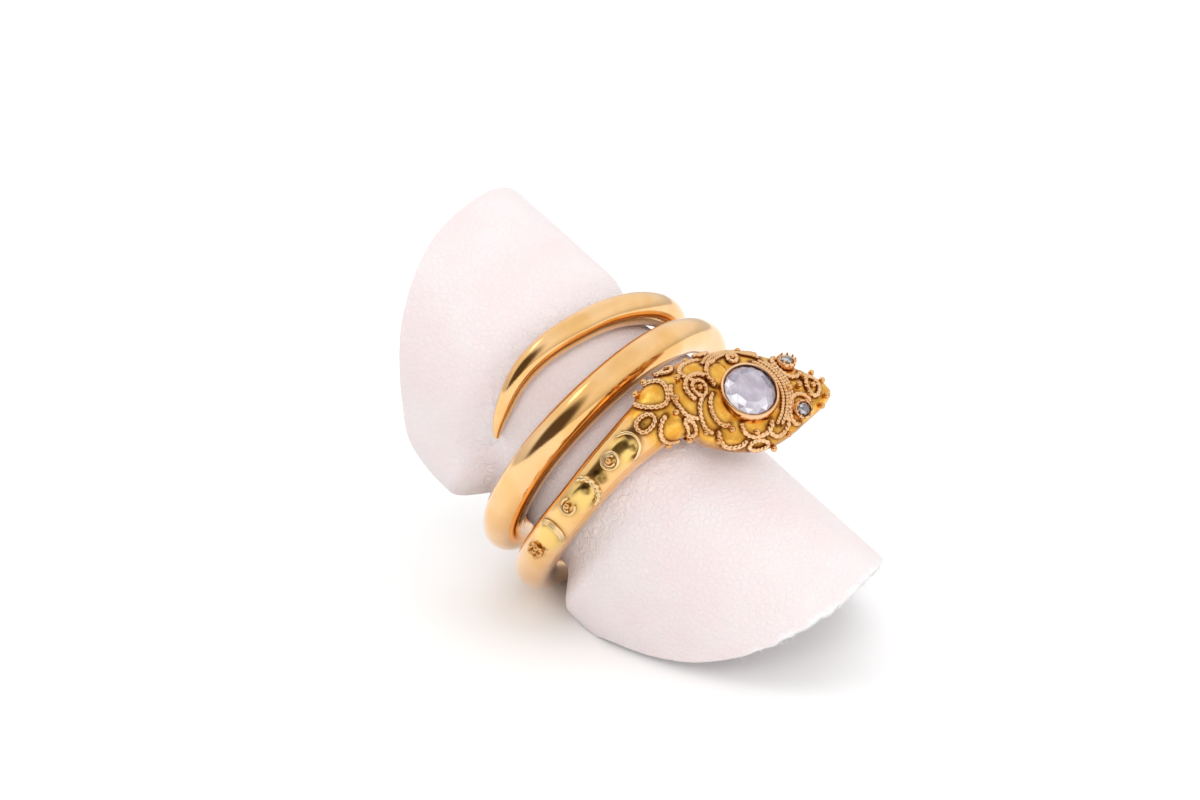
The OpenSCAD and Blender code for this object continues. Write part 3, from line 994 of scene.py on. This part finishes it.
@dataclass
class RopeWork:
    """The twisted wires that are soldered on the head and neck."""

    form: SnakeForm
    name: str
    motifs: Mapping[Motif, float]
    finish: GoldFinish
    strands: int = 3
    depth: float = 0.32
    radius: float = 0.19
    pitch: float = 4.9
    step: float = 0.055
    soften: int = 14
    corners: int = 15

    def rope(self, s: Array, q: Array, radius: float, lift: float = 0.6) -> Piece:
        """Twist the strands along a line on the skin, one turn for each pitch radii.

        Args:
            s: the line's distances ahead of the crown stone.
            q: its degrees around the body.
            radius: the rope's radius.
            lift: how far its middle is above the skin, as a share of the radius.

        Returns:
            The rope.
        """
        f, window = self.form, np.ones(2 * self.soften + 1)
        high = np.convolve(np.pad(f.relief(s, q), self.soften, "edge"), window / len(window), "valid")
        p, out = f.spot(s, q, high + lift * radius)
        run = np.concatenate([[0], np.cumsum(np.linalg.norm(np.diff(p, axis=0), axis=1))])
        n = max(8, int(run[-1] / self.step))
        at = np.linspace(0, run[-1], n + 1)
        p, out = (np.column_stack([np.interp(at, run, c) for c in v.T]) for v in (p, out))
        ahead = unit(np.gradient(p, axis=0))
        side = unit(np.cross(ahead, out))
        up = np.cross(side, ahead)
        end = np.clip(1 - np.minimum(at, run[-1] - at) / (0.8 * radius), 0, 1)
        thick = radius * np.sqrt(1 - end**2)

        def twist(u: Array, v: Array) -> Laid:
            """Points of the strands.

            Args:
                u: place around the rope.
                v: place along it.

            Returns:
                The points.
            """
            i, a = np.rint(v * n).astype(int), 2 * math.pi * u
            r = (thick[i] * (1 - self.depth * (1 - np.abs(np.cos(self.strands * a / 2)))))[:, None]
            a = (a + 2 * math.pi * at[i] / (self.pitch * radius))[:, None]
            return f.coil.world(p[i] + r * (np.cos(a) * side[i] + np.sin(a) * up[i])), {}

        return Bench.sheet("rope", self.corners, n, twist)

    def build(self) -> Piece:
        """Lay and dress every wire.

        Returns:
            All the wires, as one piece.
        """
        return Bench.gild(Bench.join(self.name, [
            self.rope(*self.form.wire_line(w, 300), self.radius * self.motifs[w.motif])
            for w in WIRES if w.motif in self.motifs]), self.finish)


@dataclass
class Granulation:
    """The little balls that are soldered between the wires."""

    form: SnakeForm
    radius: float = 0.22
    finish: GoldFinish = GoldFinish("granule_gold", (0.84, 0.5, 0.22), (0.66, 0.34, 0.11), 0.18)

    def build(self) -> Piece:
        """Set and dress every granule.

        Returns:
            The piece.
        """
        f, balls = self.form, []
        for k, (share, q) in enumerate(GRANULES):
            s, r = share * f.head_l, self.radius * (1 + 0.07 * math.sin(7.3 * k))
            at = f.coil.world(f.spot(s, q, f.relief(np.array(s), np.array(q)) + 0.8 * r)[0])
            balls.append(Bench.start(bpy.ops.mesh.primitive_ico_sphere_add, subdivisions=3, radius=r * MM,
                                     location=at * MM))
        return Bench.gild(Bench.join("granules", balls), self.finish)


@dataclass
class Setting:
    """A rim that holds a stone: an oval wall over a closed floor."""

    name: str
    seat: Seat
    half: tuple[float, float]
    profile: Sequence[tuple[float, float]]
    uneven: float
    around: int = 112
    claws: int = 0
    claw: float = 0.115
    finish: GoldFinish = GoldFinish("rim_gold", (0.93, 0.62, 0.37), (0.82, 0.47, 0.22), 0.12)

    def wall(self, u: Array, v: Array) -> Laid:
        """Points of the rim, its profile turned around the seat and a little uneven.

        Args:
            u: place around the seat.
            v: place along the profile.

        Returns:
            The points.
        """
        inset, z = np.array(self.profile).T
        i, a = np.rint(v * (len(z) - 1)).astype(int), 2 * math.pi * u
        wave = self.uneven * ripple(2.4 * u, 5.0, 2) * np.sin(math.pi * np.minimum(u, 1 - u) * 2) ** 0.5
        x, y = ((h - np.minimum(inset[i] + wave * (z[i] > 0.2), h)) for h in self.half)
        p = np.column_stack([x * np.sin(a), y * np.cos(a), z[i] + wave * (z[i] > 0.3)])
        return self.seat.place(p), {}

    def tooth(self, k: int) -> Piece:
        """Bend one claw over the stone.

        Args:
            k: which claw, counted around the seat.

        Returns:
            The claw.
        """
        a, top = 2 * math.pi * (k + 0.3) / self.claws, max(z for _, z in self.profile)
        ball = Bench.start(bpy.ops.mesh.primitive_ico_sphere_add, subdivisions=2, radius=1)
        x, y, z = (Bench.points(ball) * [self.claw * 0.8, self.claw * 0.75, self.claw * 2.1]).T
        y = y - 0.35 * np.clip(z, 0, 1) - 0.1 * self.claw + self.half[1]
        Bench.move(ball, self.seat.place(np.column_stack([
            x * math.cos(a) + y * math.sin(a), y * math.cos(a) - x * math.sin(a), z + top])))
        return ball

    def build(self) -> Piece:
        """Model and dress the setting."""
        rim = Bench.sheet(self.name, self.around, len(self.profile) - 1, self.wall)
        return Bench.gild(Bench.join(self.name, [rim, *map(self.tooth, range(self.claws))]), self.finish)


@dataclass
class CutStone:
    """A faceted stone: rings of corners and the flat facets between them.

    A ring has its size as a share of the stone's, its height, its corners and its turn.
    """

    node: str
    slot: str
    seat: Seat
    half: tuple[float, float]
    rings: Sequence[tuple[float, float, int, float]]
    finish: StoneFinish
    # direction towards which facets get lighter painted reflections; jitter is the strength of the painted
    # glitter
    painted_glint: tuple[float, float] = (-0.7, -0.5)
    jitter: float = 0.5
    edge: float = 0.012

    def build(self) -> Piece:
        """Cut and dress the stone.

        Returns:
            The piece.
        """
        piece = Bench.start(bpy.ops.mesh.primitive_circle_add, radius=1,
                            vertices=sum(corners for _, _, corners, _ in self.rings))
        piece.name = piece.data.name = f"{self.node}_cut"
        share, z, a = np.array([(size, z, 2 * math.pi * (k + turn) / corners)
                                for size, z, corners, turn in self.rings for k in range(corners)]).T
        Bench.move(piece, self.seat.place(np.column_stack([
            share * self.half[0] * np.sin(a), share * self.half[1] * np.cos(a), z])))
        Bench.work(piece, (bpy.ops.mesh.convex_hull, {}),
                   (bpy.ops.mesh.dissolve_limited, {"angle_limit": math.radians(1.5)}), FACE_OUT)
        Bench.take(piece)
        edge = piece.modifiers.new("edge", "BEVEL")
        edge.width, edge.segments = self.edge * MM, 1
        edge.limit_method, edge.angle_limit = "ANGLE", math.radians(8)
        bpy.ops.object.modifier_apply(modifier=edge.name)
        # painted reflections: facets are made lighter by the way they face, with painted glitter on the
        # tilted ones
        tilt = np.array([face.normal for face in piece.data.polygons]) @ np.array([
            self.seat.right, self.seat.ahead, self.seat.out]).T
        painted_glitter = self.jitter * np.sin(37 * tilt[:, 0] + 23 * tilt[:, 1]) * np.clip((1 - tilt[:, 2]) * 9, 0, 1)
        light = 0.5 + 0.55 * (tilt[:, 0] * self.painted_glint[0] + tilt[:, 1] * self.painted_glint[1]) + painted_glitter
        Bench.store(piece, "painted_glint", np.clip(light, 0, 1), "FACE")
        return Bench.dress(piece, self.finish.material(), self.slot, self.node, smooth=False)


@dataclass
class LeatherRoll:
    """One sheet of leather rolled into a C, with its near lower rim on the table."""

    coil: CoilForm
    thick: float = 1.0
    gap: float = 0.2
    clear: float = 0.1
    length: float = 38.0
    flare_far: float = 3.4
    flare_near: float = 2.4
    around: int = 130
    along: int = 80
    lip: int = 5
    corner: float = 0.12
    degrees_per_mm: float = 6.6
    zones: Sequence[float] = (0, 6, 10, 16, 20, 26)
    settle_tail: float = 40
    settle_neck: float = 60
    torn_from: float = -34
    hairs: int = 46
    finish: LeatherFinish = LeatherFinish()
    outline: Table = field(default_factory=lambda: Table("turn far near swell_far swell_near", [
        (-122, -0.09, 0.3, 0.09, 0.09), (-105, -0.13, 0.29, 0.15, 0.11),
        (-88, -0.16, 0.27, 0.175, 0.125), (-76, -0.23, 0.275, 0.15, 0.12),
        (-60, -0.28, 0.375, 0.085, 0.08), (-45, -0.31, 0.45, 0.06, 0.045),
        (-20, -0.36, 0.525, 0.04, 0.01), (10, -0.405, 0.565, 0.035, -0.02),
        (38, -0.42, 0.563, 0.045, -0.055), (70, -0.425, 0.55, 0.07, -0.1),
        (105, -0.41, 0.53, 0.07, -0.1), (140, -0.36, 0.5, 0.06, -0.04),
        (170, -0.28, 0.44, 0.06, 0.02), (195, -0.18, 0.36, 0.08, 0.08)]))

    def edge(self, t: Array, side: int) -> Array:
        """Where the coil's tail side (-1) or head side (1) is, along the finger."""
        return self.coil.advance(t) + side * self.coil.radius(t)

    def low(self, t: Array) -> Array:
        """Where the coil's tail side is, carried on past the tail's tip.

        Args:
            t: turns around the finger.

        Returns:
            Distances along the finger.
        """
        tail = self.coil.tail_turn
        end, before = self.edge(tail, -1), self.edge(t + 360, -1)
        return np.where(t < tail, before + (end - before) * ease((t - tail) / self.settle_tail + 1),
                        self.edge(np.where(t > tail + 360, t - 360, t), -1))

    def high(self, t: Array) -> Array:
        """Where the coil's head side is, carried on past the neck.

        Args:
            t: turns around the finger.

        Returns:
            Distances along the finger.
        """
        neck = self.coil.neck_turn - 720
        end, after = self.edge(neck + 720, 1), self.edge(t + 360, 1)
        return np.where(t < neck, self.edge(np.minimum(t, neck) + 720, 1),
                        end + (after - end) * ease((t - neck) / self.settle_neck))

    def wall(self, x: Array, t: Array) -> Array:
        """The radius of the sheet's outer face.

        Args:
            x: distances along the finger.
            t: turns around it.

        Returns:
            The radii.
        """
        c = self.coil
        far = ease((self.low(t) - self.clear - x) / self.flare_far)
        near = ease((x - self.high(t)) / self.flare_near)
        swell = self.outline.at(t, "swell_far") * far + self.outline.at(t, "swell_near") * near
        return (c.hole(t, np.clip((x - 0.4) / 4.5, -1.2, 1.1)) - self.gap - self.clear
                + c.finger_d * swell)

    def table_cut(self, t: Array, w: Array, x: Array) -> Array:
        """Where the wall meets the table."""
        a, turn = math.radians(self.coil.lean), np.radians(t - self.coil.top_turn)
        return (self.coil.table + math.cos(a) * np.cos(turn) * (self.wall(x, t) - w)) / math.sin(a)

    def near_rim(self, t: Array, w: Array) -> Array:
        """The near rim, cut where it would go through the table.

        Args:
            t: turns around the finger.
            w: depths below the outer face.

        Returns:
            Distances along the finger.
        """
        full = self.length * self.outline.at(t, "near")
        x = self.table_cut(t, w, full)
        for _ in range(12):
            x = (x + self.table_cut(t, w, x)) / 2
        return np.minimum(full, x)

    def torn(self, t: Array, last: float, soft: float) -> Array:
        """How far each turn is in the torn stretch of the near rim."""
        return ease((t - self.torn_from) / soft) * ease((last - t) / soft)

    def cell(self, u: Array, v: Array) -> tuple[Array, ...]:
        """Where a cell of the closed sheet lies.

        Args:
            u: place around the sheet's section, outer face first.
            v: place around the finger.

        Returns:
            The turn, the share along the roll, the depth below the outer face, and how much
            of a rim the place is.
        """
        n, rows, k = self.around - 2 * self.lip, 2 * self.along, self.lip
        t0, t1 = self.outline.x[0], self.outline.x[-1]
        j = np.rint(v * (rows + 2 * k)) - k
        i = np.rint(u * 2 * self.around) % (2 * self.around)
        inner, g = i >= self.around, (i % self.around) - k
        rim = np.clip(np.maximum(np.maximum(-g, g - n), np.maximum(-j, j - rows)) / k, 0, 1)
        depth = 0.5 * (1 - np.cos(0.5 * math.pi * rim))
        inward = np.clip(1 - depth / self.corner, 0, 1)
        corner = self.corner * (1 - np.sqrt(np.clip(1 - inward**2, 0, 1)))
        back = ((g <= 0) * 1 - (g >= n)) * corner / self.length
        share = np.clip(g / n, 0, 1)
        share = np.where(inner, 1 - share - back, share + back)
        turn_back = ((j <= 0) * 1 - (j >= rows)) * corner * self.degrees_per_mm
        t = t0 + (t1 - t0) * np.clip(j / rows, 0, 1) + turn_back
        return t, share, np.where(inner, 1 - depth, depth) * self.thick, rim

    def lay(self, u: Array, v: Array) -> Laid:
        """Roll the sheet.

        Args:
            u: place around the sheet's section, outer face first.
            v: place around the finger.

        Returns:
            The points, with soft waves where the sheet is free of the coil, how raw each is, as
            on a cut edge, and how much the coil squeezes it into creases.
        """
        t, share, w, rim = self.cell(u, v)
        far, near = self.length * self.outline.at(t, "far"), self.near_rim(t, w)
        a, b = self.low(t) - self.clear, self.high(t)  # the coil's two sides
        knots = np.stack([far, np.maximum(a - self.flare_far, far + 0.4 * (a - far)), a, b,
                          np.minimum(b + self.flare_near, near - 0.4 * (near - b)), near])
        zones, pick = np.array(self.zones, float), np.arange(len(share))
        place = share * zones[-1]
        k = np.clip(np.searchsorted(zones, place, "right") - 1, 0, len(zones) - 2)
        on = (place - zones[k]) / (zones[k + 1] - zones[k])
        x = knots[k, pick] + (knots[k + 1, pick] - knots[k, pick]) * on
        free = ease((a - x) / 2.0) * ease((x - far) / 2.5) + ease((x - b) / 2.0) * ease((near - x) / 2.5)
        waves = 0.05 * ripple(t / 34 + x / 23, 2.0, 2) * free
        x = x + 0.09 * ripple(t / 7, 1.0) * self.torn(t, 64, 10) * ease((share - 0.97) / 0.03)
        white = ease((share - 0.9955 + 0.003 * ripple(t / 9, 4.0)) / 0.004)
        return self.coil.world(self.coil.round_axis(x, self.wall(x, t) - w + waves, t)), {
            "raw": np.maximum(ease((rim - 0.1) / 0.3), self.torn(t, 62, 16) * (share > 0.5) * white),
            "squeezed": np.clip(ease((place - 6.5) / 3) - ease((place - 10.2) / 1)
                                + ease((place - 15.6) / 1) - ease((place - 17) / 4), 0, 1)}

    def hair(self, k: int) -> Piece:
        """Pull one thin fibre out of the torn stretch of the near rim.

        Args:
            k: which fibre.

        Returns:
            The fibre.
        """
        spread, deep, reach = ((k * step) % 1 for step in (0.618, 0.37, 0.47))
        root, w = self.torn_from + 3 + 94 * spread, self.thick * (0.05 + 0.5 * deep)
        start = float(self.near_rim(np.array([root]), np.array([w]))[0]) - 0.05
        hair = Bench.start(bpy.ops.mesh.primitive_cone_add, vertices=5, radius1=1, radius2=0, depth=1,
                           end_fill_type="TRIFAN")
        Bench.work(hair, (bpy.ops.mesh.subdivide, {"number_cuts": 3}))
        x, y, h = Bench.points(hair).T
        h = h + 0.5
        wide = 0.035 * (1 - 0.5 * h)
        t = root + 3.5 * math.sin(5.1 * k) * h * h + x * wide * self.degrees_per_mm
        w = np.maximum(w + 0.22 * math.sin(3.7 * k) * h * h, 0.04) + y * wide
        p = self.coil.world(self.coil.round_axis(
            start + (0.25 + 0.35 * reach) * h, self.wall(np.full(len(t), start), t) - w, t))
        p[:, 2] = np.maximum(p[:, 2], 0.02 - self.coil.table)
        Bench.move(hair, p)
        return hair

    def build(self) -> Piece:
        """Roll and dress the leather, then pull its fibres.

        Returns:
            The piece.
        """
        piece = Bench.sheet("rolled_leather", 2 * self.around, 2 * (self.along + self.lip), self.lay)
        Bench.dress(piece, self.finish.material(), "leather", "leather_roll")
        fibres = Bench.join("torn_fibres", [self.hair(k) for k in range(self.hairs)])
        Bench.store(fibres, "raw", np.ones(len(fibres.data.vertices)))
        Bench.dress(fibres, self.finish.material(), "leather", "leather_roll")
        return piece


@dataclass
class Studio:
    """The white table, the soft lights and the camera."""

    low: float
    reach: float = 0.176
    stand: Triple = (0.506, -0.792, 0.342)
    lens: float = 76.3
    lift: float = 0.0252
    greys: Sequence[tuple[float, float]] = (
        (0.0, 0.66), (0.1, 0.74), (0.32, 0.98), (0.65, 1.06), (1.0, 0.98))
    dark_side: Triple = (-0.135, -0.961, 0.242)
    dark_from: tuple[float, float] = (0.72, 0.91)
    dark: Rgb = (0.11, 0.08, 0.055)
    fills: Sequence[tuple[str, Triple, float]] = (
        ("fill", (0.75, -1.4, 0.85), 19.0), ("fill_right", (1.6, 0.3, 0.9), 9.0),
        ("fill_left", (-1.5, -0.8, 0.7), 8.0), ("fill_back", (-0.3, 1.7, 1.0), 6.0))
    finish: TableFinish = TableFinish()

    def table(self) -> None:
        """Lay the table top under the part."""
        top = Bench.start(bpy.ops.mesh.primitive_plane_add, size=4, location=(0, 0, self.low - 1e-5))
        Bench.join("table_top", [top])
        top.data.materials.append(self.finish.material())
        top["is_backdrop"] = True

    def lamp(self, name: str, at: Triple, power: float, size: tuple[float, float] = (1.3, 1.0),
             colour: Rgb = (1.0, 0.99, 0.985), mirrored: bool = False) -> None:
        """Hang a soft light that faces the part.

        Args:
            name: the light's name.
            at: its place, in metres.
            power: its power, in watts.
            size: its width and height, in metres.
            colour: its colour.
            mirrored: it shows in the gold.
        """
        lamp = Bench.start(bpy.ops.object.light_add, type="AREA", location=at)
        lamp.name = lamp.data.name = name
        lamp.data.shape, lamp.data.size, lamp.data.size_y = "RECTANGLE", *size
        lamp.data.energy, lamp.data.color = power, colour
        lamp.visible_glossy = mirrored
        lamp.rotation_euler = (-Vector(at)).to_track_quat("-Z", "Y").to_euler()

    def sky(self) -> None:
        """A white studio, greyer at mid height, with the dark of the room behind the camera."""
        r = Recipe("studio", world=True)
        height = r.node("ShaderNodeSeparateXYZ", {}, {0: r.place}, "Z")
        white = r.ramp(height, *((at, (grey, grey, grey)) for at, grey in self.greys))
        toward = r.node("ShaderNodeVectorMath", {"operation": "DOT_PRODUCT"},
                        {0: r.place, 1: self.dark_side}, "Value")
        light = r.blend(r.step(toward, *self.dark_from), white, self.dark)
        bpy.context.scene.world = r.end(r.node("ShaderNodeBackground", {}, {"Color": light}))

    def camera(self) -> None:
        """Look at the finger hole's centre from the photo's side."""
        at = self.reach * Vector(self.stand)
        camera = Bench.start(bpy.ops.object.camera_add, location=at,
                             rotation=(-at).to_track_quat("-Z", "Y").to_euler())
        camera.data.lens, camera.data.sensor_width, camera.data.shift_y = self.lens, 36, self.lift
        camera.data.clip_start = 0.01
        bpy.context.scene.camera = camera

    def build(self) -> None:
        """Set the studio up."""
        self.table()
        self.sky()
        self.lamp("window", (-0.38, -0.16, 0.5), 0.12, (0.22, 0.1), (1.0, 0.99, 0.97), True)
        for name, at, power in self.fills:
            self.lamp(name, at, power)
        self.camera()
        bpy.context.scene.view_settings.view_transform = "Standard"


PALE_GOLD = GoldFinish("pale_gold", (0.95, 0.74, 0.46), (0.9, 0.62, 0.27), 0.16)
ROPE_GOLD = GoldFinish("rope_gold", (0.93, 0.61, 0.34), (0.8, 0.45, 0.19), 0.2)
# the stones' colours are the pale, middle and dark stops of their painted reflections
PALE_STONE = StoneFinish("pale_stone", (0.82, 0.82, 0.89), (0.36, 0.32, 0.385), (0.07, 0.06, 0.09), 0.12)
GREY_STONE = StoneFinish("grey_stone", (0.5, 0.49, 0.52), (0.11, 0.105, 0.115), (0.03, 0.03, 0.035), 0.05,
                         0.18)
RIM = ((-0.05, -0.9), (-0.02, -0.3), (0.0, 0.0), (0.02, 0.25), (0.05, 0.42), (0.08, 0.53), (0.115, 0.595),
       (0.16, 0.62), (0.205, 0.605), (0.24, 0.56), (0.26, 0.49), (0.29, 0.3), (0.32, 0.06), (9, 0.06))
CUP = ((0.1, -0.5), (0.03, -0.1), (0.0, 0.3), (0.0, 0.52), (0.03, 0.6), (0.09, 0.6), (0.13, 0.55),
       (0.15, 0.45), (0.15, 0.3), (9, 0.3))
CROWN_CUT = ((0.9, 0.11, 16, 0.0), (1.0, 0.38, 16, 0.0), (1.0, 0.48, 16, 0.0), (0.86, 0.7, 16, 0.5),
             (0.64, 0.86, 9, 0.1))
CROWN_AT, CROWN_ASIDE = -0.05, 0.035  # head lengths ahead, head widths aside
EYE_AT, EYE_ASIDE, EYE_LEAN = 0.216, 0.22, (25, 6)
EYE_CUT = ((0.9, 0.35, 8, 0.0), (1.0, 0.52, 8, 0.0), (1.0, 0.55, 8, 0.0), (0.8, 0.68, 8, 0.5),
           (0.5, 0.77, 5, 0.2))


def main() -> None:
    """Build every piece, then the studio, and report them."""
    logging.basicConfig(level=logging.INFO, format="%(message)s")
    low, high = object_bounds()
    coil = CoilForm()
    snake = SnakeForm(coil)
    SnakeSkin(snake).build()
    RopeWork(snake, "rope_work", {Motif.SCALE: 1.0, Motif.RING: 0.92, Motif.BORDER: 0.74}, ROPE_GOLD).build()
    RopeWork(snake, "neck_beading", {Motif.CRESCENT: 1.2}, PALE_GOLD, 2, 0.5, pitch=3.6, corners=12).build()
    RopeWork(snake, "neck_wires", {Motif.PLAIN: 0.62}, PALE_GOLD, 1, 0.0, corners=10).build()
    Granulation(snake).build()
    crown = snake.seat(CROWN_AT * snake.head_l, aside=CROWN_ASIDE * snake.head_w)
    Setting("crown_setting", crown, (2.125, 2.0), RIM, 0.035).build()
    CutStone("crown_stone", "crown_stone", crown, (1.8, 1.68), CROWN_CUT, PALE_STONE,
             (0.55, -0.75), 0.3).build()
    for side, name in ((-1, "left"), (1, "right")):
        at = EYE_AT * snake.head_l
        q = side * math.degrees(math.asin(EYE_ASIDE * snake.head_w / float(snake.section(at)[3])))
        eye = snake.seat(at, q, lean_out=side * EYE_LEAN[0], lean_on=EYE_LEAN[1])
        Setting(f"eye_collet_{name}", eye, (0.62, 0.62), CUP, 0.012, 40, 9).build()
        CutStone(f"eye_stone_{name}", "eye_stone", eye, (0.42, 0.42), EYE_CUT, GREY_STONE).build()
    LeatherRoll(coil).build()

    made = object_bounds()
    Studio(min(low[2], made[0][2])).build()


if __name__ == "__main__":
    main()
